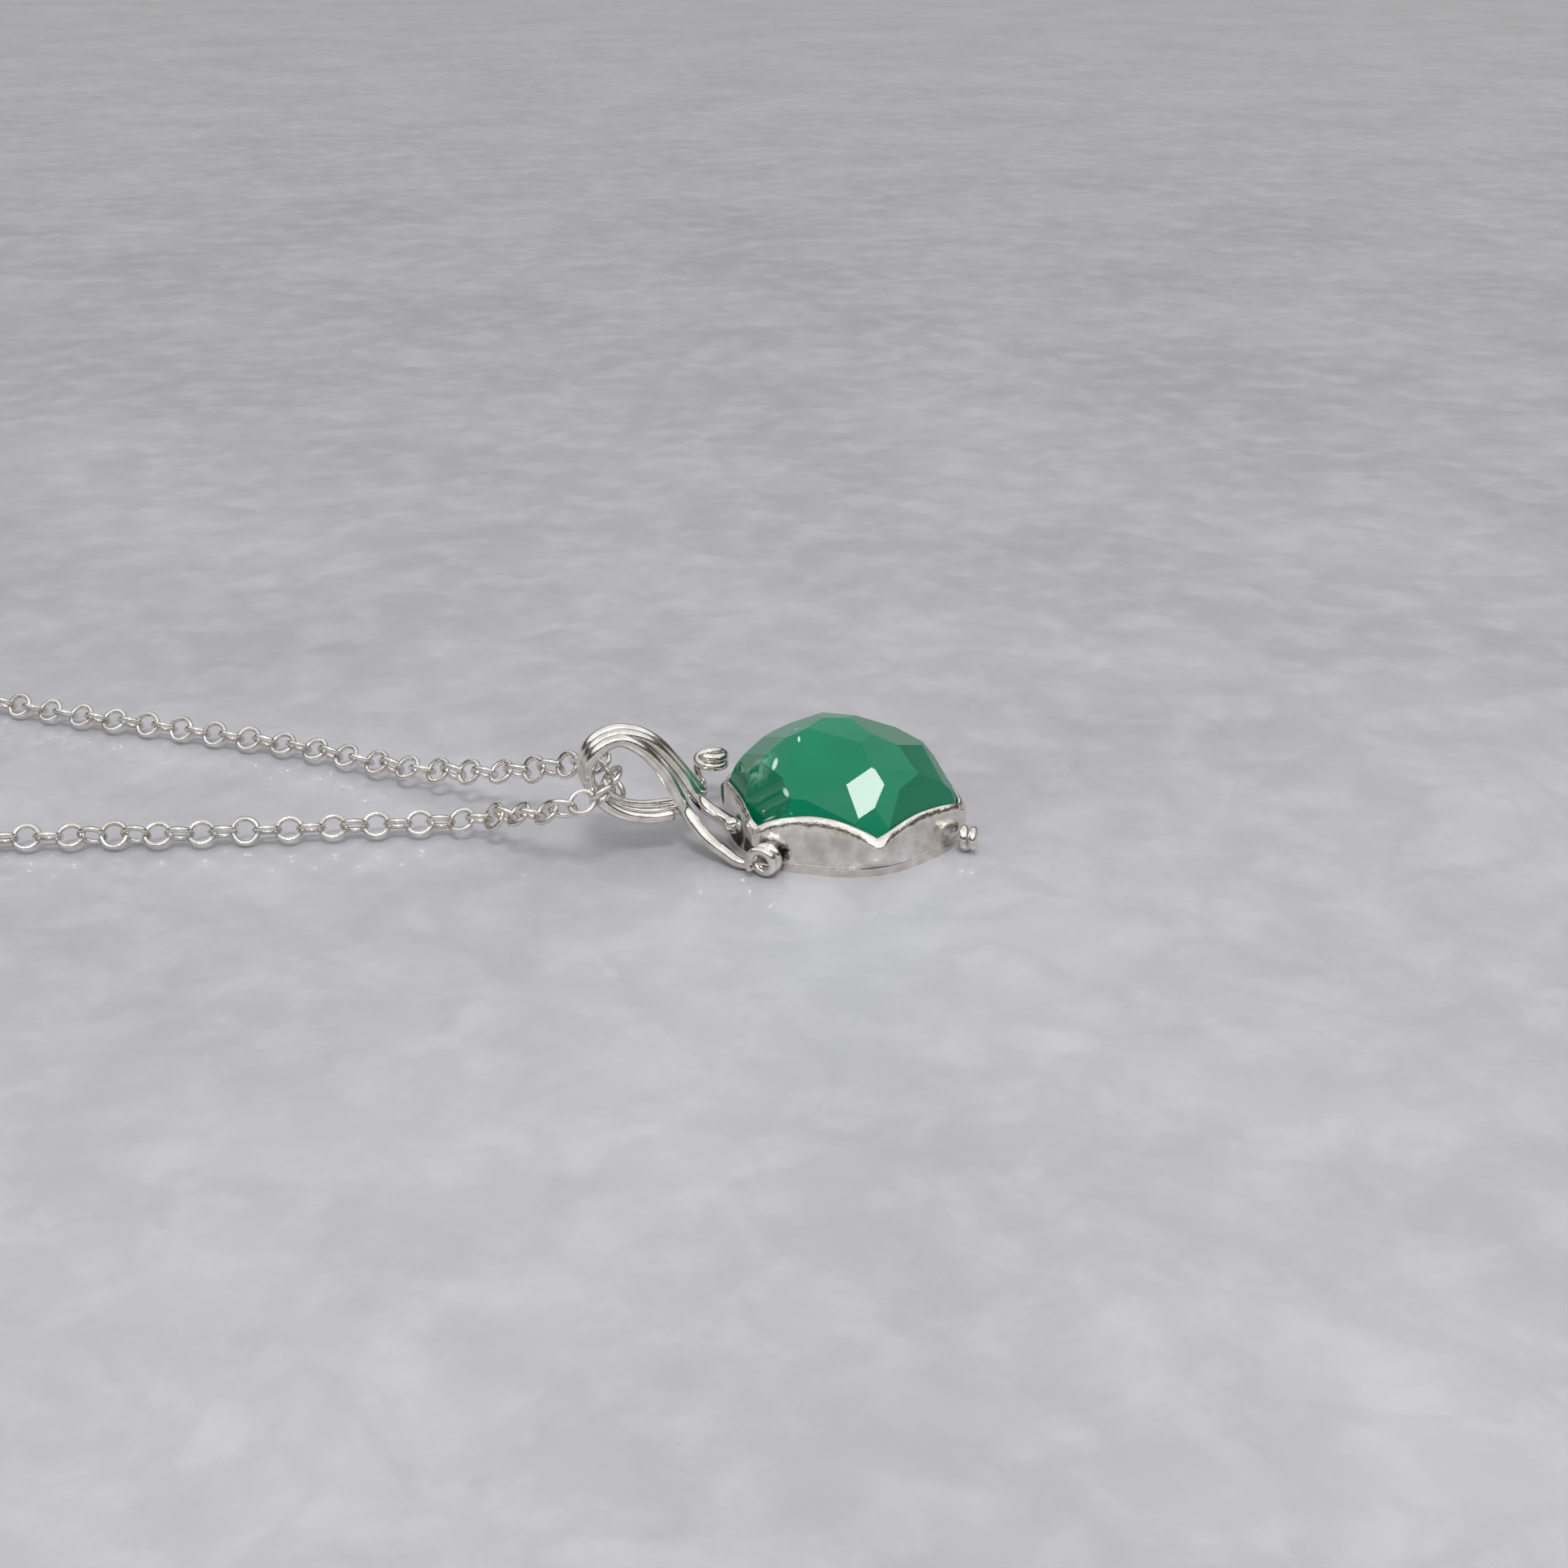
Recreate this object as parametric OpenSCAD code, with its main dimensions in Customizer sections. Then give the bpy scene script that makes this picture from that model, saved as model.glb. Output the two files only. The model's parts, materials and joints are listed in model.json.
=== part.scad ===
// Pendant necklace: a six-sided rose-cut stone in a scalloped bezel, a bail of three round wires
// whose ends scroll against the bezel, and a rolo chain with a spring-ring clasp.
// The pendant lies on its back: +X runs from the bail to the tip, +Z up out of the stone,
// and the origin is the middle of the back plate's underside.

/* [Setting] */
// Corner radius of the back plate
plate_corner_r = 5; // [3:0.1:5.5]
// How much longer the back plate is along X than across, as a share
plate_stretch = 0.05; // [0:0.01:0.08]
// Thickness of the back plate
plate_t = 0.5; // [0.4:0.05:0.8]
// How far the back plate stands out past the wall
plate_lip = 0.02; // [0:0.01:0.2]
// Thickness of the wall's strip
wall_t = 0.29; // [0.2:0.01:0.35]
// Corner radius of the wall at the stone's height
wall_corner_r = 1.5; // [1:0.1:2.5]
// Extra width of the wall's corners at the notches
wall_flare = 0.15; // [0:0.05:0.3]
// Gap left between the stone and the wall before burnishing
stone_gap = 0.04; // [0.02:0.01:0.1]
// Height of the six notches above the girdle of the stone
notch_rise = 0.1; // [0.05:0.05:0.6]
// Rise of each lobe above the notches, starting with the tip's and going to its left
lobe_rise = [0.5, 0.6, 0.55, 0.3, 0.9, 0.5]; // [0.2:0.05:1]
// Thickness of the lobes at their thinned rim
rim_t = 0.2; // [0.1:0.05:0.3]
// Height of the band burnished over the stone
burnish_h = 0.5; // [0.3:0.05:0.6]
// Inward lean of the lobes, per unit of height
lobe_lean = 0.32; // [0.2:0.02:0.5]
// Height of the bearing ledge above the back plate
ledge_h = 0.8; // [0.5:0.1:1]
// Width of the bearing ledge
ledge_w = 0.7; // [0.4:0.1:1]

/* [Stone] */
// Distance across the flats of the stone
stone_af = 12.5; // [11.5:0.1:15]
// Corner radius of the stone's outline
stone_corner_r = 1.5; // [1:0.1:2]
// Height of the girdle above the ledge
girdle_rise = 1.05; // [0.9:0.05:1.3]
// Height of the top of the stone above its girdle
crown_h = 5; // [4.2:0.05:5.6]

/* [Wires] */
// Diameter of the bail and shoulder wires
wire_d = 0.8; // [0.6:0.05:0.9]
// Length of the bail loop, from the junction to its outer end
bail_len = 6.6; // [6:0.1:8]
// Height of the bail loop between its wires' centres
bail_rise = 5; // [4.5:0.1:6.5]
// How far the junction of the wires stands out from the wall
shoulder_reach = 2.1; // [1.9:0.05:3]
// Height of the junction above the table
junction_z = 2.95; // [2.6:0.05:3.6]
// Width of the flattened tongue
tongue_w = 1.15; // [0.9:0.05:1.4]
// Outer diameter of the scrolls at the bail end
scroll_od = 2; // [1.8:0.05:2.4]
// Outer diameter of the scroll on the far side
far_scroll_od = 2.3; // [1.9:0.1:2.4]
// Diameter of the wire where it is drawn down for the scrolls
scroll_wire = 0.55; // [0.4:0.05:0.6]
// Outer diameter of the curls at the tip end
curl_od = 1.6; // [1.4:0.1:2]

/* [Chain] */
// Outer diameter of the rolo links, which is the chain's width
chain_d = 1.8; // [1.8:0.1:2]
// Outer diameter of the coil in which the spare chain is stored
coil_od = 26.8; // [26.8:0.2:30]
// Inner diameter of that coil
coil_id = 11.6; // [11.6:0.1:12]

/* [Clasp] */
// Outer diameter of the spring-ring clasp
clasp_od = 5.5; // [5.5:0.1:6]
// Diameter of the clasp's tube
clasp_tube = 1.2; // [1.1:0.05:1.3]
// Wall of the clasp's tube
clasp_wall = 0.2; // [0.15:0.05:0.2]
// Running clearance of the bolt in the tube
bolt_gap = 0.05; // [0.03:0.01:0.08]
// Diameter of the wire of the jump rings
jump_wire = 0.5; // [0.4:0.05:0.55]
// Outer diameter of the jump ring and the end ring
jump_od = 2.6; // [2.4:0.1:2.8]

/* [Hidden] */

silver = [0.83, 0.82, 0.81];
stone_green = [0.05, 0.47, 0.36];

// Clearance under a piece, and between pieces that lie one over another
floor_gap = 0.02;

// The stone's size sets the wall's, and the wall's sets the plate's
stone_flat = stone_af/2;
seat_flat = stone_flat + stone_gap;
wall_flat = seat_flat + wall_t;
plate_flat = wall_flat + plate_lip;
seat_h = plate_t + ledge_h;
girdle_h = seat_h + girdle_rise;
notch_h = girdle_h + notch_rise;
stone_top = girdle_h + crown_h;

// ---- vector and curve helpers ----

function unit(v) = v/norm(v);
function mix(a, b, t) = a + (b - a)*t;
function clamp01(t) = min(1, max(0, t));
function smooth(t) = clamp01(t)*clamp01(t)*(3 - 2*clamp01(t));
function xyz(p) = [p[0], p[1], p[2]];

// Angle from the nearest flat's middle, -30 to 30, for flats that face 0, 60, 120 ...
function from_flat(a) = let (m = (a + 30) % 60) (m < 0 ? m + 60 : m) - 30;

// Radius at angle a of a hexagon with rounded corners
function hex_r(a, flat, corner_r) =
    let (b = abs(from_flat(a)), inner = flat - corner_r, c = inner/cos(30))
    flat*tan(b) <= inner*tan(30) ? flat/cos(b)
        : c*cos(30 - b) + sqrt(corner_r*corner_r - pow(c*sin(30 - b), 2));

// A smooth curve through the points p, each [x, y, z, radius], with n steps in each span
function curve(p, n) =
    let (last = len(p) - 1)
    [for (i = [0:last - 1], k = [0:n - 1])
        let (t = k/n, a = p[max(0, i - 1)], b = p[i], c = p[i + 1], d = p[min(last, i + 2)])
        0.5*(2*b + (c - a)*t + (2*a - 5*b + 4*c - d)*t*t + (3*b - a - 3*c + d)*t*t*t),
     p[last]];

function tangent(p, i) =
    unit(xyz(p[min(len(p) - 1, i + 1)]) - xyz(p[max(0, i - 1)]));
function carry(n, t) = unit(n - (n*t)*t);

// Side vectors carried along the path without twist, starting near the direction side
function sides(p, side) =
    [for (i = 0, n = carry(side, tangent(p, 0)); i < len(p);
        i = i + 1, n = i < len(p) ? carry(n, tangent(p, i)) : n) n];

// The same path with rounded ends: two smaller rings before and after
function rounded(p) =
    let (a = p[0], b = p[len(p) - 1], ta = tangent(p, 0), tb = tangent(p, len(p) - 1))
    concat([[for (k = [0:3]) k < 3 ? a[k] - ta[k]*a[3]*0.55 : a[3]*0.55],
            [for (k = [0:3]) k < 3 ? a[k] - ta[k]*a[3]*0.3 : a[3]*0.86]],
        p,
        [[for (k = [0:3]) k < 3 ? b[k] + tb[k]*b[3]*0.3 : b[3]*0.86],
         [for (k = [0:3]) k < 3 ? b[k] + tb[k]*b[3]*0.55 : b[3]*0.55]]);

// A solid swept along the path, m-sided, squashed across the side vector by flat[i]
module sweep(p, m, side, flat = []) {
    s = sides(p, side);
    rings = [for (i = [0:len(p) - 1], k = [0:m - 1])
        let (t = tangent(p, i), u = s[i], v = cross(t, u), q = i < len(flat) ? flat[i] : 1,
             a = 360*(k + 0.5)/m)
        xyz(p[i]) + p[i][3]*(q*cos(a)*u + sin(a)*v/q)];
    last = (len(p) - 1)*m;
    polyhedron(rings, concat(
        [[for (k = [0:m - 1]) k]],
        [for (i = [0:len(p) - 2], k = [0:m - 1])
            [i*m + k, (i + 1)*m + k, (i + 1)*m + (k + 1) % m, i*m + (k + 1) % m]],
        [[for (k = [m - 1:-1:0]) last + k]]));
}

// ---- the setting ----

module rounded_hexagon(flat, corner_r) {
    c = (flat - corner_r)/cos(30);
    corner = [for (k = [0:5]) c*[cos(30 + 60*k), sin(30 + 60*k)]];
    polygon([for (k = [0:5], side = [0, 1])
        corner[k] + corner_r*[cos(60*(k + side)), sin(60*(k + side))]]);
    for (k = [0:5]) translate(corner[k]) circle(r = corner_r, $fn = 64);
}

// Radius of the back plate at angle a, and of the wall's foot outside and inside
function plate_r(a) = hex_r(a, plate_flat, plate_corner_r)*(1 + plate_stretch*pow(cos(a), 2));
function foot_out(a) = plate_r(a) - plate_lip;
function foot_in(a) = min(wall_in(a), foot_out(a) - wall_t);

module back_plate() {
    color(silver) linear_extrude(plate_t)
        polygon([for (a = [0:3:357]) plate_r(a)*[cos(a), sin(a)]]);
}

module stone_ledge() {
    color(silver) translate([0, 0, plate_t]) linear_extrude(ledge_h) difference() {
        polygon([for (a = [0:3:357]) (foot_in(a) - floor_gap)*[cos(a), sin(a)]]);
        polygon([for (a = [0:3:357]) (foot_in(a) - floor_gap - ledge_w)*[cos(a), sin(a)]]);
    }
}

function lobe_h(a) =
    let (b = from_flat(a)/30, k = round((a - from_flat(a))/60) % 6)
    notch_h + lobe_rise[k]*pow(1 - b*b, 0.8);
function brow(a) = hex_r(a, wall_flat, wall_corner_r) + wall_flare*pow(abs(from_flat(a))/30, 6);
function wall_in(a) = hex_r(a, seat_flat, stone_corner_r);
lean_h = girdle_h - 0.15;

// One section of the wall at angle a, outside first, then over the rim and down the inside
function wall_section(a) =
    let (h = lobe_h(a), ridge_h = h - burnish_h, ridge = brow(a) - max(0, ridge_h - lean_h)*lobe_lean,
         inner = wall_in(a), rim = inner - (h - lean_h)*lobe_lean)
    [[foot_out(a), plate_t], [mix(foot_out(a), brow(a), 0.65), mix(plate_t, seat_h, 0.5)], [brow(a), seat_h],
     [ridge, ridge_h], [mix(ridge, rim + rim_t, 0.55), h - burnish_h*0.4], [rim + rim_t, h - 0.05],
     [rim + rim_t*0.5, h], [rim + 0.01, h - 0.02], [inner - 0.01, lean_h], [inner, seat_h],
     [foot_in(a), plate_t]];

module bezel_wall() {
    steps = 120;
    rows = [for (i = [0:steps - 1]) wall_section(360*i/steps)];
    n = len(rows[0]);
    points = [for (i = [0:steps - 1], s = rows[i]) [s[0]*cos(360*i/steps), s[0]*sin(360*i/steps), s[1]]];
    color(silver) polyhedron(points, [for (i = [0:steps - 1], k = [0:n - 1])
        [i*n + k, i*n + (k + 1) % n, ((i + 1) % steps)*n + (k + 1) % n, ((i + 1) % steps)*n + k]]);
}

// ---- the stone ----

// Cutting chart: each facet's heading, its slope from level and its distance from the origin, for a
// stone of the chart's own size. The half nearer -Y is listed, and turned half round it gives the other.
chart_af = 12.5;
chart_top = 7.35;
top_facets = [[-106, 9, 6.8], [2, 24, 6.54], [76, 15, 6.8], [140, 28, 6.7]];
side_facets = [
    [-127, 32, 6.52], [-61, 28, 6.9], [-23, 38.5, 6.8], [-70, 42.5, 7.1], [-58, 70, 6.84],
    [-102, 49.5, 6.86], [-111, 52, 6.8], [-82, 59, 7.01], [-92, 63.5, 6.99],
    [-159, 38, 6.84], [166, 48.5, 6.89], [-162, 64.5, 6.5]];

// The tier over the girdle leans in with the lobes that hold it down
tier_slope = atan(1/lobe_lean);
tier_foot = lean_h - 0.1;

// Everything beyond a facet's plane. A wider stone has the same facets at the same heights, spread out.
module facet(heading, slope, depth, spread = 1) {
    tilt = atan(tan(slope)/spread);
    wide = 2*stone_af;
    rotate([0, tilt, heading]) translate([-wide/2, -wide/2, depth*cos(tilt)/cos(slope)]) cube([wide, wide, wide]);
}

module gemstone() {
    spread = stone_af/chart_af;
    color(stone_green) difference() {
        translate([0, 0, seat_h + floor_gap]) linear_extrude(stone_top) rounded_hexagon(stone_flat, stone_corner_r);
        translate([0, 0, stone_top - chart_top]) {
            for (f = top_facets) facet(f[0], f[1], f[2], spread);
            for (f = side_facets, half = [0, 180]) facet(f[0] + half, f[1], f[2], spread);
        }
        for (a = [0:30:330])
            facet(a, tier_slope, hex_r(a, stone_flat, stone_corner_r)*sin(tier_slope) + tier_foot*cos(tier_slope));
    }
}

// ---- the wires ----

junction_x = wall_flat + shoulder_reach;
wire_pitch = wire_d - 0.01;
wire_r = wire_d/2;
scroll_r = scroll_wire/2;
tongue_q = 1.12;
scroll_gap = 0.22;
near_scroll_heading = -135;
curl_heading = 39;

// The bail loop in side view: share of its length, share of its rise. The front legs differ.
loop_shape = [[0.72, 1], [0.905, 0.9], [0.995, 0.69], [0.985, 0.45], [0.87, 0.23], [0.68, 0.07], [0.455, 0]];
near_leg = [[0.165, 0.07], [0.23, 0.27], [0.318, 0.5], [0.433, 0.72], [0.55, 0.88]];
middle_leg = [[0.02, 0.12], [0.11, 0.32], [0.228, 0.55], [0.37, 0.79], [0.52, 0.94]];
far_leg = [[-0.035, 0.11], [0.06, 0.3], [0.18, 0.53], [0.325, 0.77], [0.5, 0.94]];
loop_floor = junction_z - 0.11*bail_rise;
function loop_points(leg, y, tail) =
    [for (s = concat(leg, loop_shape, [[tail, 0.005]]))
        [-junction_x - s[0]*bail_len, y, loop_floor + s[1]*bail_rise, wire_r]];
function backwards(p) = [for (i = [len(p) - 1:-1:0]) p[i]];

// A place beside the wall: out from the flat that faces a heading, along it to the left, and up
function by_wall(heading, out, along, z) =
    let (d = wall_flat + out)
    [d*cos(heading) - along*sin(heading), d*sin(heading) + along*cos(heading), z];
half_side = wall_flat*tan(30);

// A close coil round an axis, starting in the direction from, turning the right-hand way
function coil(centre, axis, from, r, pitch, start, turns, wire, n = 14) =
    let (u = unit(from - (from*axis)*axis), v = cross(axis, u))
    [for (i = [0:n*turns])
        let (a = start + 360*i/n, c = centre + axis*pitch*(i/n) + r*(cos(a)*u + sin(a)*v))
        [c[0], c[1], c[2], wire]];

module wire_near() {
    axis = [cos(near_scroll_heading), sin(near_scroll_heading), 0];
    r = scroll_od/2 - scroll_r;
    centre = by_wall(-120, scroll_r + scroll_gap, 1.2 - half_side, scroll_od/2 + floor_gap);
    path = concat(
        curve(concat(backwards(loop_points(near_leg, -wire_pitch, 0.28)),
            [[-junction_x - 0.62, -1.38, 1.95, wire_r*1.15],
             [-junction_x - 0.04, -2.13, 1.25, wire_r*1.12],
             concat(by_wall(180, 1.35, 3.1, 0.75), wire_r),
             concat(by_wall(180, 0.75, 3.95, 0.45), wire_r*0.85),
             concat(by_wall(-120, scroll_r + 0.1, 0.15 - half_side, scroll_r + floor_gap), scroll_r)]), 4),
        coil(centre, axis, [0, 0, 1], r, scroll_wire + 0.02, 180, 1.9, scroll_r));
    color(silver) sweep(rounded(path), 12, [0, 1, 0]);
}

module wire_middle() {
    path = curve(concat(backwards(loop_points(middle_leg, 0, 0.15)),
        [concat(by_wall(180, 1.66, 0.4, junction_z - 0.58), wire_r*1.1),
         concat(by_wall(180, 1.12, 1, junction_z - 0.85), wire_r*1.25),
         concat(by_wall(180, 0.76, 1.75, junction_z - 0.93), tongue_w*0.48),
         concat(by_wall(180, 0.62, 2.35, junction_z - 0.93), tongue_w*0.48)]), 4);
    n = len(path);
    color(silver) sweep(rounded(path), 12, [0, 1, 0],
        [for (i = [0:n + 3]) mix(1, tongue_q, smooth((i - n + 14)/10))]);
}

module wire_far() {
    r = far_scroll_od/2 - scroll_r;
    centre = by_wall(120, far_scroll_od/2 + 0.1, half_side - 0.5, junction_z - 0.45);
    path = concat(
        curve(concat(backwards(loop_points(far_leg, wire_pitch, 0.11)),
            [[-junction_x + 0.3, 1.4, junction_z - 0.25, wire_r],
             [-junction_x + 0.75, 2.6, junction_z - 0.35, wire_r*0.9],
             [centre[0] - r - 0.15, centre[1] - 1.2, centre[2] - 0.04, scroll_r]]), 4),
        coil(centre, [0, 0, -1], [-1, 0, 0], r, -scroll_wire - 0.02, 0, 1.9, scroll_r));
    color(silver) sweep(rounded(path), 12, [0, 1, 0]);
}

module curl(side) {
    r = curl_od/2 - scroll_r;
    heading = side*curl_heading;
    out = [cos(heading), sin(heading), 0];
    centre = out*(max(brow(heading), plate_r(heading)) + scroll_r + scroll_gap) + [0, 0, curl_od/2 + floor_gap];
    color(silver) sweep(rounded(coil(centre, out, [out[1], -out[0], 0]*side, r, scroll_wire + 0.02, 0, 1.6, scroll_r)),
        12, out);
}
module curl_near() curl(-1);
module curl_far() curl(1);

// ---- the chain ----

chain_r = chain_d/2;
chain_z = chain_r + floor_gap;
coil_at = [-66.3, 21.5];

// The run of chain from the coil, through the bail and back to the coil
run_route = [
    [-59.5, 9, chain_z], [-54, 9.1, chain_z], [-48.3, 9.3, chain_z], [-43.3, 8.4, chain_z],
    [-38.3, 7.3, chain_z], [-33.3, 6.5, chain_z], [-28.3, 5.8, chain_z], [-23.3, 4.9, 0.98],
    [-20.9, 3.6, 1.5], [-19.4, 1.2, 2.6], [-18, -1, 3.5], [-16.6, -2.3, 4.35], [-15.1, -2.5, 4.8],
    [-14.1, -1.9, 4.9], [-13.9, -0.8, 4.9], [-13.9, 0.8, 4.9], [-14.1, 2.1, 4.85],
    [-15.2, 3.6, 4.35], [-17.4, 5.6, 3.4], [-20.5, 8.6, 2.3], [-24.8, 13.2, 1.25], [-30.2, 18.6, 0.94],
    [-34.7, 21.8, chain_z], [-39.6, 25.1, chain_z], [-44.1, 28, chain_z], [-49, 31.6, chain_z],
    [-53.5, 34.2, 1.1], [-57, 35.1, 1.7], [-60.5, 35.2, 2.4]];

module chain_run() {
    path = curve([for (p = run_route) concat(p, chain_r)], 2);
    color(silver) sweep(path, 8, [0, 0, 1]);
}

module chain_coil() {
    section = coil_od/2 - coil_id/2;
    tall = 2*chain_d + 0.05;
    color(silver) translate([coil_at[0], coil_at[1], floor_gap]) rotate_extrude($fn = 96)
        translate([coil_id/2, 0]) polygon([[chain_r, 0], [section - chain_r, 0], [section, chain_r],
            [section, tall - chain_r], [section - chain_r, tall], [chain_r, tall], [0, tall - chain_r], [0, chain_r]]);
}

// ---- the clasp, lying in the middle of the coil ----

tube_r = clasp_tube/2;
bore_r = tube_r - clasp_wall;
bolt_r = bore_r - bolt_gap;
ring_r = clasp_od/2 - tube_r;
clasp_z = tube_r + floor_gap;
clasp_at = [coil_at[0] + 1.9, coil_at[1] - 0.5, clasp_z];
eye_heading = -153;
gap_angle = 50;
travel = 44;
eye_wire = 0.3;
eye_gap = 0.05;
eye_od = jump_wire + 2*(eye_wire + eye_gap);
jump_r = jump_od/2 - jump_wire/2;
eye_at = clasp_at + (clasp_od/2 + eye_od/2 - 0.1)*[cos(eye_heading), sin(eye_heading), 0];
jump_at = eye_at + jump_r*[cos(eye_heading), sin(eye_heading), 0];
end_ring_at = [coil_at[0] - 1.6, coil_at[1] + 2.9, jump_wire/2 + floor_gap];

// Clasp frame: its centre, with +X towards the gap
module in_clasp() translate(clasp_at) rotate(eye_heading + 180) children();

module arc(r, ring, start, angle, inner = 0) {
    rotate([0, 0, start]) rotate_extrude(angle = angle, $fn = 96) translate([ring, 0]) difference() {
        circle(r = r, $fn = 48);
        if (inner > 0) circle(r = inner, $fn = 48);
    }
}

module clasp_body() {
    slot = bolt_r*0.62 + bolt_gap;
    color(silver) in_clasp() difference() {
        arc(tube_r, ring_r, gap_angle/2, 360 - gap_angle, bore_r);
        rotate([0, 0, gap_angle/2 - 2]) rotate_extrude(angle = travel + 16, $fn = 96)
            translate([ring_r, -slot]) square([tube_r*1.2, 2*slot]);
    }
}

module clasp_bolt() {
    pin_r = bolt_r*0.62;
    tab = gap_angle/2 + 6;
    color(silver) in_clasp() union() {
        arc(bolt_r, ring_r, -gap_angle/2 - 4, gap_angle + 48);
        rotate([0, 0, tab]) translate([ring_r, 0, 0]) rotate([0, 90, 0]) cylinder(r = pin_r, h = tube_r + 0.35, $fn = 32);
        rotate([0, 0, tab]) translate([ring_r + tube_r + 0.4, 0, 0]) sphere(r = pin_r*1.6, $fn = 32);
    }
}

module clasp_spring() {
    wire = 0.07;
    r = bore_r - wire - 0.03;
    start = gap_angle/2 + 46;
    turns = 9;
    steps = 10;
    path = [for (i = [0:turns*steps])
        let (a = start + 70*i/(turns*steps), b = 360*i/steps, d = ring_r + r*cos(b))
        [d*cos(a), d*sin(a), r*sin(b), wire]];
    color(silver) in_clasp() sweep(path, 5, [0, 0, 1]);
}

module clasp_eye() {
    color(silver) translate(eye_at) rotate([90, 0, eye_heading]) arc(eye_wire/2, eye_od/2 - eye_wire/2, 0, 360);
}
module clasp_jump_ring() color(silver) translate(jump_at) arc(jump_wire/2, jump_r, 0, 360);
module end_ring() color(silver) translate(end_ring_at) arc(jump_wire/2, jump_r, 0, 360);

// One end of the chain, straight from the inside of the coil to the ring at ring_at
module chain_end(ring_at) {
    out = unit([ring_at[0] - coil_at[0], ring_at[1] - coil_at[1], 0]);
    from = [coil_at[0], coil_at[1], chain_z] + out*(coil_id/2 - 3*floor_gap);
    to = [ring_at[0], ring_at[1], chain_z] + out*(jump_od/2 + floor_gap);
    color(silver) sweep([concat(from, chain_r), concat(to, chain_r)], 8, [0, 0, 1]);
}
module chain_clasp_end() chain_end(jump_at);
module chain_ring_end() chain_end(end_ring_at);

back_plate();
stone_ledge();
bezel_wall();
gemstone();
wire_near();
wire_middle();
wire_far();
curl_near();
curl_far();
chain_run();
chain_coil();
chain_clasp_end();
chain_ring_end();
clasp_body();
clasp_bolt();
clasp_spring();
clasp_eye();
clasp_jump_ring();
end_ring();
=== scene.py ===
# %% [markdown]
# # A pendant necklace
# A six-sided rose-cut green stone sits in a scalloped silver bezel. Three round wires make its bail, and
# a rolo chain runs through it. The CAD frame already holds every solid at its real size and place, so this
# file only gives the solids their finish, and draws what plain solids leave out: the links of the chain,
# the soft curve of the drawn wires, and the hand-burnished rim of the setting.

# %% Load the frame
import json
import math

import bmesh
import bpy
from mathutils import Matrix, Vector, noise


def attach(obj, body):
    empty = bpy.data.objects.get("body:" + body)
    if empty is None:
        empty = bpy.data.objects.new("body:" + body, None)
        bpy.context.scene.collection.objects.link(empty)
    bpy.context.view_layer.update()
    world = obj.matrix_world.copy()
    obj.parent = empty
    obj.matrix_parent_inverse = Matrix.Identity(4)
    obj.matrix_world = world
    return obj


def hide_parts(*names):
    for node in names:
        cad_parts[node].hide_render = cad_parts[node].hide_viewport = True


MM = 0.001
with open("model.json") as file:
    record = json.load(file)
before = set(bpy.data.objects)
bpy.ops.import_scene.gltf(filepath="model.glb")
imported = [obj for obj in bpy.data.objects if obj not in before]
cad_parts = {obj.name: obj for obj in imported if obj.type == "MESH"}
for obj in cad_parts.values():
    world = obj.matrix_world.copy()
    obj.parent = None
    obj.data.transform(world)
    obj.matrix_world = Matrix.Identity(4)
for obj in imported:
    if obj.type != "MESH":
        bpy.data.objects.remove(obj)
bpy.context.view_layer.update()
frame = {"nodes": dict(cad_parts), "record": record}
cad_nodes = frame["nodes"]

# %% [markdown]
# ## Camera
# The pendant is small, so the camera stands about 13 cm away, a little above the table and to the left of
# the stone's far end. A 50 mm lens keeps the near strand of chain only slightly larger than the far one.

# %% Camera
camera_azimuth = math.radians(-15)
camera_elevation = math.radians(23.6)
view_line = Vector((
    -math.sin(camera_azimuth) * math.cos(camera_elevation),
    math.cos(camera_azimuth) * math.cos(camera_elevation),
    -math.sin(camera_elevation),
))
camera = bpy.data.objects.new("camera", bpy.data.cameras.new("camera"))
camera.location = Vector((-33.9, -113.19, 54.45)) * MM
camera.rotation_euler = view_line.to_track_quat("-Z", "Y").to_euler()
camera.data.sensor_width = 36
camera.data.lens = 49.94
camera.data.clip_start = 0.002
bpy.context.collection.objects.link(camera)
bpy.context.scene.camera = camera

# %% [markdown]
# ## The line that the chain follows
# The chain is 18 inches long. Its two strands leave the bail and cross the table, and the rest is wound in
# a round coil of two layers, with its clasp and its end ring in the middle. The free stretch is a
# list of points, the same as in the CAD model. The coil's turns follow a rule, so a loop
# makes them.

# %% Route of the chain
chain_width = 1.8
table_level = chain_width / 2 + 0.02
coil_centre = Vector((-66.3, 21.5, 0))
coil_outer_line = 12.45
coil_inner_line = 6.75
upper_level = table_level + chain_width + 0.03

strand_points = [
    (-59.5, 9, 0.92), (-54, 9.1, 0.92), (-48.3, 9.3, 0.92), (-43.3, 8.4, 0.92), (-38.3, 7.3, 0.92),
    (-33.3, 6.5, 0.92), (-28.3, 5.8, 0.92), (-23.3, 4.9, 0.98), (-20.9, 3.6, 1.5), (-19.4, 1.2, 2.6),
    (-18, -1, 3.5), (-16.6, -2.3, 4.35), (-15.1, -2.5, 4.8), (-14.1, -1.9, 4.9), (-13.9, -0.8, 4.9),
    (-13.9, 0.8, 4.9), (-14.1, 2.1, 4.85), (-15.2, 3.6, 4.35), (-17.4, 5.6, 3.4), (-20.5, 8.6, 2.3),
    (-24.8, 13.2, 1.25), (-30.2, 18.6, 0.94), (-34.7, 21.8, 0.92), (-39.6, 25.1, 0.92), (-44.1, 28, 0.92),
    (-49, 31.6, 0.92), (-53.5, 34.2, 1.1), (-57, 35.1, 1.7), (-60.5, 35.2, 2.4),
]


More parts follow.
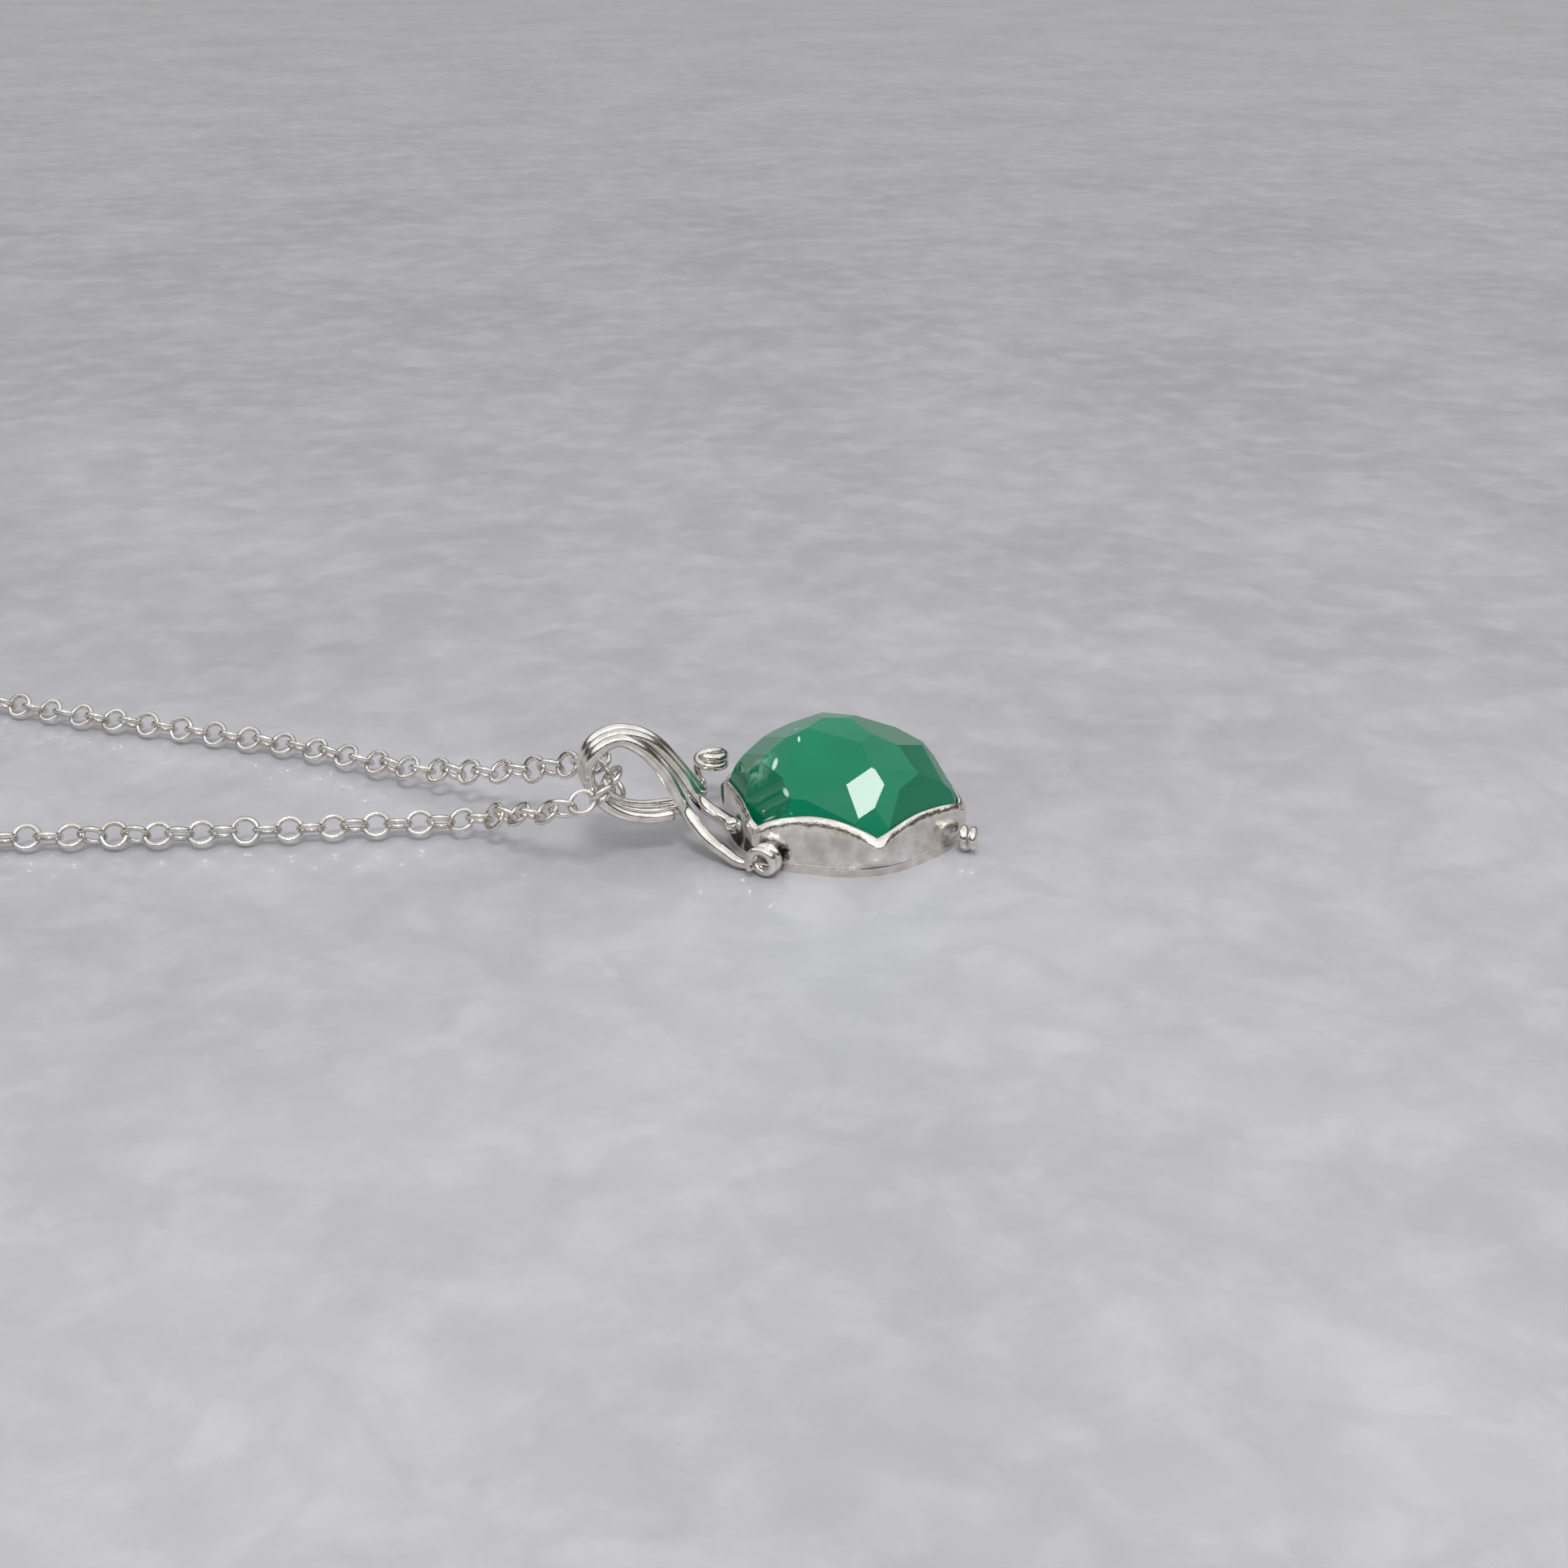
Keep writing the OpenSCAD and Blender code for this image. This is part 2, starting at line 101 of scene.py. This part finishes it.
def around_coil(radius, heading, level):
    """A point of the coil, from its distance and heading from the coil's centre, in degrees."""
    turn = math.radians(heading)
    return coil_centre + Vector((radius * math.cos(turn), radius * math.sin(turn), level))


def coil_turns(first_heading, last_heading, first_radius, last_radius, level):
    """The turns of one layer, with a point every 20 degrees."""
    count = round(abs(last_heading - first_heading) / 20)
    shares = [i / count for i in range(count + 1)]
    return [
        around_coil(
            first_radius + (last_radius - first_radius) * s,
            first_heading + (last_heading - first_heading) * s,
            level,
        )
        for s in shares
    ]


def smooth_line(points, steps):
    """A Catmull-Rom curve through the points, with that many steps in each span."""
    line = []
    for i in range(len(points) - 1):
        a, b = points[max(i - 1, 0)], points[i]
        c, d = points[i + 1], points[min(i + 2, len(points) - 1)]
        for k in range(steps):
            t = k / steps
            line.append(0.5 * (
                2 * b + (c - a) * t + (2 * a - 5 * b + 4 * c - d) * t**2 + (3 * b - a - 3 * c + d) * t**3
            ))
    line.append(points[-1])
    return line


clasp_tail = [around_coil(4.5, -128, table_level), around_coil(5.5, -122, table_level)]
ring_tail = [around_coil(5.6, 110, 1.8), around_coil(4.7, 119, table_level)]
chain_points = (
    clasp_tail
    + coil_turns(-105, -78 + 3 * 360, coil_inner_line - 0.4, coil_outer_line, table_level)
    + [Vector(p) for p in strand_points]
    + coil_turns(85, 90 + 2 * 360, coil_outer_line, coil_outer_line - 2 * chain_width, upper_level)
    + ring_tail
)
chain_line = [p * MM for p in smooth_line(chain_points, 6)]
chain_length = sum((b - a).length for a, b in zip(chain_line, chain_line[1:]))
print("chain length, mm:", round(chain_length / MM))

# %% [markdown]
# ## Shader maths in plain Python
# A procedural finish is arithmetic on noise and distance. This small class wraps a node's output, so an
# expression such as 1 - mask adds the Math node that does it.


# %% Socket arithmetic
class Wire:
    """A node output that takes part in Python arithmetic."""

    def __init__(self, paint, socket):
        self.paint = paint
        self.socket = socket

    def math(self, operation, *others, clamp=False):
        values = [self, *others]
        return self.paint.node("ShaderNodeMath", {"operation": operation, "use_clamp": clamp}, values)

    def __add__(self, other):
        return self.math("ADD", other)

    def __radd__(self, other):
        return self.math("ADD", other)

    def __sub__(self, other):
        return self.math("SUBTRACT", other)

    def __rsub__(self, other):
        return self.paint.node("ShaderNodeMath", {"operation": "SUBTRACT"}, [other, self])

    def __mul__(self, other):
        return self.math("MULTIPLY", other)

    def __rmul__(self, other):
        return self.math("MULTIPLY", other)

    def larger(self, other):
        return self.math("MAXIMUM", other)

    def band(self, low, high):
        """0 below low, 1 above high, and a soft step between them. low may be above high."""
        values = {"Value": self, "From Min": low, "From Max": high}
        return self.paint.node("ShaderNodeMapRange", {"interpolation_type": "SMOOTHSTEP"}, values)


class Paint:
    """One material, its Principled shader, and short names for the nodes that finishes need."""

    def __init__(self, name, **constants):
        self.material = bpy.data.materials.new(name)
        self.material.use_nodes = True
        self.tree = self.material.node_tree
        self.shader = self.tree.nodes["Principled BSDF"]
        for key, value in constants.items():
            self.shader.inputs[key.replace("_", " ")].default_value = value

    def node(self, kind, settings=(), values=(), output=0):
        made = self.tree.nodes.new(kind)
        for key, value in dict(settings).items():
            setattr(made, key, value)
        pairs = values.items() if isinstance(values, dict) else enumerate(values)
        for key, value in pairs:
            if isinstance(value, Wire):
                self.tree.links.new(value.socket, made.inputs[key])
            else:
                made.inputs[key].default_value = value
        return Wire(self, made.outputs[output])

    def place(self):
        """The point on the surface, in millimetres."""
        point = self.node("ShaderNodeTexCoord", output="Object")
        return self.node("ShaderNodeVectorMath", {"operation": "MULTIPLY"}, [point, (1000, 1000, 1000)])

    def noise(self, place, scale, detail=3.0, roughness=0.55, distortion=0.0):
        values = {"Vector": place, "Scale": scale, "Detail": detail, "Roughness": roughness,
                  "Distortion": distortion}
        return self.node("ShaderNodeTexNoise", values=values)

    def stretched(self, place, turn, size):
        """The place, turned by Euler angles in degrees and then scaled, for grain and streaks."""
        angles = tuple(math.radians(a) for a in turn)
        return self.node("ShaderNodeMapping", values={"Vector": place, "Rotation": angles, "Scale": size})

    def mix(self, share, first, second):
        made = self.tree.nodes.new("ShaderNodeMix")
        made.data_type = "RGBA"
        for key, value in (("Factor_Float", share), ("A_Color", first), ("B_Color", second)):
            socket = next(s for s in made.inputs if s.identifier == key)
            if isinstance(value, Wire):
                self.tree.links.new(value.socket, socket)
            else:
                socket.default_value = value
        return Wire(self, next(s for s in made.outputs if s.identifier == "Result_Color"))

    def distance(self, place, centre):
        return self.node("ShaderNodeVectorMath", {"operation": "DISTANCE"}, [place, centre], output="Value")

    def bump(self, height, strength, depth_mm):
        values = {"Strength": strength, "Distance": depth_mm * MM, "Height": height}
        return self.node("ShaderNodeBump", values=values)

    def feed(self, **wires):
        for key, wire in wires.items():
            self.tree.links.new(wire.socket, self.shader.inputs[key.replace("_", " ")])
        return self.material


def rgb(red, green, blue):
    """A colour from its 0 to 255 screen values."""
    def linear(value):
        v = value / 255
        return v / 12.92 if v <= 0.04045 else ((v + 0.055) / 1.055) ** 2.4
    return (linear(red), linear(green), linear(blue), 1.0)


# %% [markdown]
# ## Silver
# Polished sterling silver is a warm white mirror. What makes it look real is small: rubbed, slightly
# uneven polish, fine scratches along the work, and a dark oxide that stays where the polishing cloth can't
# reach. Each place that stays dark is given as a point and a reach, and worn away by noise.


# %% Silver finishes
def silver_finish(name, roughness, scratch_turn, scratch_depth, dark_places=(), ripple=0.0):
    paint = Paint(name, Metallic=1.0)
    place = paint.place()
    rubbed = paint.noise(place, 0.9, 4.0)
    grain = paint.noise(paint.stretched(place, scratch_turn, (0.8, 14, 14)), 1.0, 2.0)
    pits = paint.noise(place, 3.5, 5.0, 0.7)
    dark = None
    for centre, reach in dark_places:
        near = paint.distance(place, centre).band(reach, reach * 0.35)
        dark = near if dark is None else dark.larger(near)
    bright = paint.mix(rubbed.band(0.35, 0.7), rgb(214, 208, 201), rgb(240, 238, 235))
    rough = roughness + rubbed.band(0.4, 0.75) * roughness * 0.9 + grain.band(0.55, 0.8) * 0.05
    colour = bright
    if dark is not None:
        worn = (dark * (0.2 + pits * 1.3)).band(0.4, 0.7)
        colour = paint.mix(worn, bright, rgb(52, 46, 42))
        rough = rough + worn * 0.3
    height = grain * scratch_depth + rubbed * ripple
    return paint.feed(Base_Color=colour, Roughness=rough, Normal=paint.bump(height, 0.6, 0.05))


wire_silver = silver_finish(
    "drawn_wire_silver", 0.08, (0, 0, 0), 0.15, ripple=0.3,
    dark_places=[
        ((-7.6, -2.6, 0.7), 1.1), ((-9.1, -0.2, 2.4), 0.8),
        ((-8.3, 1.5, 2.3), 0.9), ((-7.4, 3.6, 1.6), 0.8),
    ],
)
wall_silver = silver_finish(
    "bezel_silver", 0.11, (0, 8, 20), 0.25, ripple=2.2,
    dark_places=[
        ((-6.6, -1.2, 1.0), 1.8), ((-6.5, -3.2, 0.8), 1.2),
        ((-5.3, -5.3, 1.2), 1.3), ((-6.4, 3.2, 1.6), 1.2),
    ],
)
plate_silver = silver_finish("plate_silver", 0.16, (0, 0, 35), 0.3, ripple=0.8)
link_silver = silver_finish("chain_silver", 0.1, (0, 0, 0), 0.05)
clasp_silver = silver_finish("clasp_silver", 0.1, (0, 0, 60), 0.1)
spring_steel = silver_finish("spring_steel", 0.25, (0, 0, 0), 0.1)

# %% [markdown]
# ## Stone
# The stone is a green chalcedony: deep and even in colour, slightly see-through at its edges, with a pale
# cloud and a few white flakes near the bail. Its facets are glass smooth, so each mirrors a different part
# of the light around it over the body colour. Facets that lean away from the bail get a slightly darker
# painted shade.


# %% Stone finish
def fleck(paint, place, centre, turn, size):
    """1 inside a small ellipsoid at centre, its length along X before the turn."""
    moved = paint.node("ShaderNodeVectorMath", {"operation": "SUBTRACT"}, [place, centre])
    angles = tuple(math.radians(a) for a in turn)
    shaped = paint.node("ShaderNodeVectorRotate", {"rotation_type": "EULER_XYZ", "invert": True},
                        {"Vector": moved, "Rotation": angles})
    shaped = paint.node("ShaderNodeVectorMath", {"operation": "DIVIDE"}, [shaped, size])
    reach = paint.node("ShaderNodeVectorMath", {"operation": "LENGTH"}, [shaped], output="Value")
    return reach.band(1.25, 0.75)


def stone_finish():
    paint = Paint("green_chalcedony", Roughness=0.04, IOR=1.54, Specular_IOR_Level=0.3)
    place = paint.place()
    drift = paint.noise(place, 0.16, 3.0)
    grain = paint.noise(place, 1.3, 5.0, 0.65, 0.4)
    body = paint.mix(drift.band(0.3, 0.7), rgb(0, 117, 84), rgb(0, 128, 93))
    # painted shade: facets whose normal leans far along X get a darker green base colour, in place of the
    # light they catch less of
    facing = paint.node("ShaderNodeNewGeometry", output="Normal")
    sideways = paint.node("ShaderNodeSeparateXYZ", values=[facing], output="X")
    painted_facet_shade = (sideways + 0.2).math("ABSOLUTE").band(0.35, 0.6)
    body = paint.mix(painted_facet_shade * 0.6, body, rgb(0, 100, 71))
    cloud = paint.distance(place, (-5.15, -0.2, 4.55)).band(1.5, 0.3) * grain.band(0.4, 0.62)
    pale = paint.mix(cloud * 0.7, body, rgb(138, 186, 162))
    flecks = [
        ((-4.43, -1.19, 5.11), (0, -25, 60), (0.42, 0.15, 0.25)),
        ((-4.36, -3.33, 4.24), (0, 20, -72), (0.42, 0.14, 0.16)),
        ((-2.48, 1.15, 6.18), (0, 0, 40), (0.22, 0.15, 0.15)),
        ((-2.85, -0.66, 6.29), (0, 0, 75), (0.26, 0.07, 0.15)),
        ((-4.88, -3.55, 2.83), (0, -26.6, -51.2), (1.05, 0.06, 0.12)),
    ]
    marks = None
    for centre, turn, size in flecks:
        mark = fleck(paint, place, centre, turn, size)
        marks = mark if marks is None else marks.larger(mark)
    colour = paint.mix(marks * grain.band(0.3, 0.48), pale, rgb(196, 222, 208))
    return paint.feed(Base_Color=colour)


stone_green = stone_finish()


# %% [markdown]
# ## Finer copies of the CAD pieces
# The CAD wires have twelve sides, enough for the physics but not for polished metal, where every flat
# shows in the reflections. A copy of the node's mesh is merged, its triangles are paired back into the
# quads that they came from, and a subdivision surface rounds it.


# %% Refining a CAD node
def refined(node, material, levels, crease_angle=180.0):
    """A smooth copy of a CAD node's mesh, which stands for it and rides on the same body."""
    source = cad_nodes[node]
    mesh = source.data.copy()
    work = bmesh.new()
    work.from_mesh(mesh)
    bmesh.ops.remove_doubles(work, verts=work.verts, dist=0.0005 * MM)
    bmesh.ops.join_triangles(
        work, faces=work.faces,
        angle_face_threshold=math.radians(25), angle_shape_threshold=math.radians(60),
        cmp_seam=False, cmp_sharp=False, cmp_uvs=False, cmp_vcols=False, cmp_materials=False,
    )
    crease = work.edges.layers.float.new("crease_edge")
    for edge in work.edges:
        if len(edge.link_faces) == 2 and edge.calc_face_angle() > math.radians(crease_angle):
            edge[crease] = 0.7
    for face in work.faces:
        face.smooth = True
    work.to_mesh(mesh)
    work.free()
    for layer in list(mesh.uv_layers):
        mesh.uv_layers.remove(layer)
    piece = bpy.data.objects.new(node + "_finished", mesh)
    bpy.context.collection.objects.link(piece)
    smoothing = piece.modifiers.new("rounding", "SUBSURF")
    smoothing.levels = smoothing.render_levels = levels
    return settle(piece, node, material)


def settle(piece, node, material):
    """Turns a piece's modifiers into plain mesh, paints it, and lets it stand for the CAD node."""
    evaluated = piece.evaluated_get(bpy.context.evaluated_depsgraph_get())
    finished = bpy.data.meshes.new_from_object(evaluated)
    piece.modifiers.clear()
    piece.data = finished
    finished.materials.clear()
    finished.materials.append(material)
    body = next(b for b, names in frame["record"]["behaviour"]["bodies"].items() if node in names)
    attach(piece, body)
    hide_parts(node)
    print(piece.name, len(finished.polygons), "faces")
    return piece


for wire in ("wire_near", "wire_middle", "wire_far", "curl_near", "curl_far"):
    refined(wire, wire_silver, 2)

# %% [markdown]
# ## The setting
# The wall is a strip of sheet silver, pushed over the stone with a burnisher. Its rim is soft and slightly
# uneven, so the refined copy is moved a few hundredths of a millimetre by noise.

# %% Bezel wall and plate
bezel = refined("bezel_wall", wall_silver, 2, crease_angle=28)
for vertex in bezel.data.vertices:
    high = min(max((vertex.co.z / MM - 1.2) / 1.5, 0), 1)
    push = noise.noise(vertex.co / MM * 0.9) * 0.05 * high + noise.noise(vertex.co / MM * 2.6) * 0.012
    outward = Vector((vertex.co.x, vertex.co.y, 0)).normalized()
    vertex.co += outward * push * MM

for node, material in (
    ("back_plate", plate_silver), ("stone_ledge", plate_silver), ("gemstone", stone_green),
    ("clasp_body", clasp_silver), ("clasp_bolt", clasp_silver), ("clasp_spring", spring_steel),
    ("clasp_eye", clasp_silver), ("clasp_jump_ring", clasp_silver), ("end_ring", clasp_silver),
):
    for material_slot in cad_nodes[node].material_slots:
        material_slot.material = material

# %% [markdown]
# ## The chain
# A rolo chain is made of equal round rings, each a quarter turn from the next. A Geometry Nodes tree lays
# one ring at every pitch of the line and turns every second one. The rings stand at 45 degrees to the
# table on either side, as a chain that lies down settles.

# %% Rolo links
link_wire = 0.33
link_pitch = 1.26


def chain_tree():
    tree = bpy.data.node_groups.new("rolo_chain", "GeometryNodeTree")
    tree.interface.new_socket("Line", in_out="INPUT", socket_type="NodeSocketGeometry")
    for name, value in (("Pitch", link_pitch * MM), ("Ring Radius", (chain_width - link_wire) / 2 * MM),
                        ("Wire Radius", link_wire / 2 * MM)):
        tree.interface.new_socket(name, in_out="INPUT", socket_type="NodeSocketFloat").default_value = value
    tree.interface.new_socket("Finish", in_out="INPUT", socket_type="NodeSocketMaterial")
    tree.interface.new_socket("Links", in_out="OUTPUT", socket_type="NodeSocketGeometry")

    def add(kind, settings=(), values=()):
        made = tree.nodes.new(kind)
        for key, value in dict(settings).items():
            setattr(made, key, value)
        for key, value in dict(values).items():
            if hasattr(value, "is_output"):
                tree.links.new(value, made.inputs[key])
            else:
                made.inputs[key].default_value = value
        return made.outputs

    given = add("NodeGroupInput")
    line = add("GeometryNodeMeshToCurve", values={"Mesh": given["Line"]})["Curve"]
    spaced = {"Curve": line, "Length": given["Pitch"]}
    line = add("GeometryNodeResampleCurve", {"mode": "LENGTH"}, spaced)["Curve"]
    line = add("GeometryNodeSetCurveNormal", {"mode": "Z_UP"}, {"Curve": line})["Curve"]
    points = add("GeometryNodeCurveToPoints", {"mode": "EVALUATED"}, {"Curve": line})
    around = {"Resolution": 18, "Radius": given["Ring Radius"]}
    across = {"Resolution": 6, "Radius": given["Wire Radius"]}
    circle = add("GeometryNodeCurvePrimitiveCircle", values=around)["Curve"]
    section = add("GeometryNodeCurvePrimitiveCircle", values=across)["Curve"]
    ring = add("GeometryNodeCurveToMesh", values={"Curve": circle, "Profile Curve": section})
    ring = add("GeometryNodeTransform", values={"Geometry": ring["Mesh"], "Rotation": (math.pi / 2, 0, 0)})
    index = add("GeometryNodeInputIndex")["Index"]
    odd = add("ShaderNodeMath", {"operation": "MODULO"}, {0: index, 1: 2.0})["Value"]
    quarter = add("ShaderNodeMath", {"operation": "MULTIPLY"}, {0: odd, 1: math.pi / 2})["Value"]
    loose = add("FunctionNodeRandomValue", {"data_type": "FLOAT"}, {"Min": 0.55, "Max": 1.02, "Seed": 7})
    loose = next(s for s in loose if s.enabled)
    angle = add("ShaderNodeMath", {"operation": "ADD"}, {0: quarter, 1: loose})["Value"]
    spin = add("FunctionNodeAxisAngleToRotation", values={"Axis": (0, 0, 1), "Angle": angle})["Rotation"]
    turned = add("FunctionNodeRotateRotation", {"rotation_space": "LOCAL"},
                 {"Rotation": points["Rotation"], "Rotate By": spin})["Rotation"]
    rings = add("GeometryNodeInstanceOnPoints",
                values={"Points": points["Points"], "Instance": ring["Geometry"], "Rotation": turned})
    solid = add("GeometryNodeRealizeInstances", values={"Geometry": rings["Instances"]})["Geometry"]
    smooth = add("GeometryNodeSetShadeSmooth", values={"Geometry": solid})["Geometry"]
    finish = {"Geometry": smooth, "Material": given["Finish"]}
    painted = add("GeometryNodeSetMaterial", values=finish)["Geometry"]
    result = tree.nodes.new("NodeGroupOutput")
    tree.links.new(painted, result.inputs["Links"])
    return tree


line_mesh = bpy.data.meshes.new("chain_links")
line_mesh.from_pydata([tuple(p) for p in chain_line], [(i, i + 1) for i in range(len(chain_line) - 1)], [])
chain = bpy.data.objects.new("chain_links", line_mesh)
bpy.context.collection.objects.link(chain)
rolo = chain.modifiers.new("rolo", "NODES")
rolo.node_group = chain_tree()
sockets = {s.name: s.identifier for s in rolo.node_group.interface.items_tree}
rolo[sockets["Pitch"]] = link_pitch * MM
rolo[sockets["Finish"]] = link_silver
bpy.context.view_layer.update()
links_mesh = bpy.data.meshes.new_from_object(chain.evaluated_get(bpy.context.evaluated_depsgraph_get()))
chain.modifiers.clear()
chain.data = links_mesh
print("links:", round(chain_length / (link_pitch * MM)), "faces:", len(links_mesh.polygons))

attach(chain, "chain")
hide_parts("chain_run", "chain_coil", "chain_clasp_end", "chain_ring_end")

# %% [markdown]
# ## Table
# A plain pale tabletop of polished stone: nearly one colour, with a soft mottling and faint veins, and a
# slightly blurred gloss that gives the silver something to stand on.


# %% Table
def table_finish():
    paint = Paint("tabletop", IOR=1.5, Coat_Weight=0.35, Coat_Roughness=0.08)
    place = paint.place()
    clouds = paint.noise(place, 0.035, 4.0, 0.6)
    tone = paint.mix(clouds.band(0.25, 0.75), rgb(170, 170, 174), rgb(187, 187, 192))
    crystals = paint.noise(place, 0.22, 6.0, 0.62, 0.3)
    tone = paint.mix(crystals.band(0.42, 0.68) * 0.32, tone, rgb(204, 204, 209))
    veins = (paint.noise(place, 0.1, 5.0, 0.55, 0.4) - 0.5).math("ABSOLUTE").band(0.06, 0.0)
    tone = paint.mix(veins * 0.16, tone, rgb(156, 156, 160))
    return paint.feed(Base_Color=tone, Roughness=0.25 + crystals * 0.25)


table_half = 2.0
table_mesh = bpy.data.meshes.new("tabletop")
table_mesh.from_pydata(
    [(-table_half, -table_half, 0), (table_half, -table_half, 0), (table_half, table_half, 0),
     (-table_half, table_half, 0)], [], [(0, 1, 2, 3)])
table = bpy.data.objects.new("tabletop", table_mesh)
bpy.context.collection.objects.link(table)
table_mesh.materials.append(table_finish())

# %% [markdown]
# ## Light
# Soft daylight: an overcast surround, brighter behind the camera than on the far side, with one window
# above. Polished silver shows only what is around it, so the surround has a darker band a little above the
# horizon, which draws the wires' outlines.


# %% Light
# height of the sky from the horizon at 0 to overhead at 1, its brightness, and its warmth
sky_stops = (
    (0.0, 0.48, 0.02), (0.1, 0.4, 0.03), (0.2, 0.05, 0.12), (0.42, 0.08, 0.08),
    (0.52, 0.76, 0.0), (0.75, 0.8, 0.0), (1.0, 0.66, -0.01),
)
# how strong the surround is behind the camera and on the far side
near_sky = 1.75
far_sky = 1.0


def surround():
    world = bpy.data.worlds.new("daylight")
    world.use_nodes = True
    tree = world.node_tree
    background = tree.nodes["Background"]
    coordinates = tree.nodes.new("ShaderNodeTexCoord")
    parts = tree.nodes.new("ShaderNodeSeparateXYZ")
    ramp = tree.nodes.new("ShaderNodeValToRGB")
    tree.links.new(coordinates.outputs["Generated"], parts.inputs[0])
    tree.links.new(parts.outputs["Z"], ramp.inputs[0])
    tree.links.new(ramp.outputs[0], background.inputs["Color"])
    elements = ramp.color_ramp.elements
    while len(elements) < len(sky_stops):
        elements.new(0.5)
    for element, (position, level, warmth) in zip(elements, sky_stops):
        element.position = position
        element.color = (level * (1 + warmth), level, level * (1 - warmth), 1)
    # the far side of the room is darker than the near side
    dimmer = tree.nodes.new("ShaderNodeMapRange")
    for key, value in (("From Min", -1.0), ("From Max", 1.0), ("To Min", near_sky), ("To Max", far_sky)):
        dimmer.inputs[key].default_value = value
    tree.links.new(parts.outputs["Y"], dimmer.inputs["Value"])
    tree.links.new(dimmer.outputs["Result"], background.inputs["Strength"])
    bpy.context.scene.world = world


def window(name, towards, distance, width, height, power):
    light = bpy.data.lights.new(name, "AREA")
    light.shape = "RECTANGLE"
    light.size = width
    light.size_y = height
    light.energy = power
    lamp = bpy.data.objects.new(name, light)
    direction = Vector(towards).normalized()
    lamp.location = direction * distance
    lamp.rotation_euler = direction.to_track_quat("Z", "Y").to_euler()
    bpy.context.collection.objects.link(lamp)


surround()
# a direction in which the stone's small front facet mirrors it towards the camera
window("window_above", towards=(-0.112, -0.512, 0.852), distance=1.2, width=0.28, height=0.25, power=5.2)
bpy.context.scene.view_settings.view_transform = "Standard"
